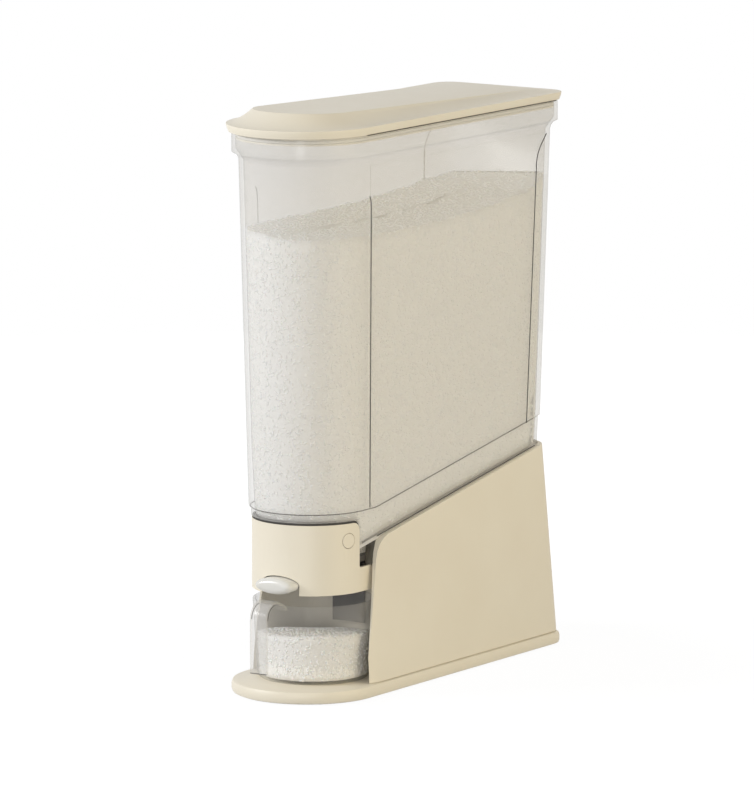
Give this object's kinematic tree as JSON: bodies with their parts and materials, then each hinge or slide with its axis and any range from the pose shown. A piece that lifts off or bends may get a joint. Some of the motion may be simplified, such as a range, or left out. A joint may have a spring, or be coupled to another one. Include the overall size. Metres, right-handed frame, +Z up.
{
  "type": "grain dispenser",
  "caption": "Slim clear grain hopper on a sloped cream base, with a lift-off lid, a spring-loaded press-button gate and a measuring cup with a hooked handle under the spout.",
  "frame": {"origin": "centre of the bounding box's underside, on the surface that the feet stand on", "axes": "+Z up; -Y towards the user, where the button and the cup's handle are; +X to the right for someone facing the front"},
  "size_m": [0.106, 0.3136, 0.4081],
  "materials": {
    "cream_plastic": "fine satin moulding",
    "clear_plastic": "clear polished moulding",
    "dark_plastic": "satin",
    "pale_gloss_plastic": "gloss",
    "silicone": "soft matte",
    "rubber": "matte",
    "steel": "plain"
  },
  "bodies": {
    "base": {"foot_plate": "cream_plastic", "base_housing": "cream_plastic", "foot_pad_1": "rubber", "foot_pad_2": "rubber", "foot_pad_3": "rubber", "foot_pad_4": "rubber", "housing_screw_1": "steel", "housing_screw_2": "steel", "housing_screw_3": "steel", "housing_screw_4": "steel"},
    "hopper_unit": {"hopper": "clear_plastic", "neck_gasket": "silicone", "outlet_chute": "dark_plastic", "gate_retainer": "dark_plastic", "chute_screw_1": "steel", "chute_screw_2": "steel", "chute_screw_3": "steel", "chute_screw_4": "steel", "collar": "cream_plastic", "collar_pin_left": "cream_plastic", "collar_pin_right": "cream_plastic", "return_spring_left": "steel", "return_spring_right": "steel"},
    "gate_unit": {"gate": "dark_plastic", "dispense_button": "pale_gloss_plastic"},
    "lid": {"lid_cover": "cream_plastic", "lid_liner": "cream_plastic", "lid_seal": "silicone"},
    "cup": {"measuring_cup": "clear_plastic"}
  },
  "joints": [
    {"name": "hopper_lift", "type": "slide", "parent": "base", "child": "hopper_unit", "axis": [0, 0, 1], "range_m": [0, 0.09]},
    {"name": "gate_press", "type": "slide", "parent": "hopper_unit", "child": "gate_unit", "axis": [0, 1, 0], "range_m": [0, 0.01], "stiffness_N_per_m": 250, "springref_m": -0.004, "deforming": ["return_spring_left", "return_spring_right"]},
    {"name": "lid_lift", "type": "slide", "parent": "hopper_unit", "child": "lid", "axis": [0, 0, 1], "range_m": [0, 0.04]},
    {"name": "cup_slide", "type": "slide", "parent": "base", "child": "cup", "axis": [0, -1, 0], "range_m": [0, 0.11]}
  ]
}
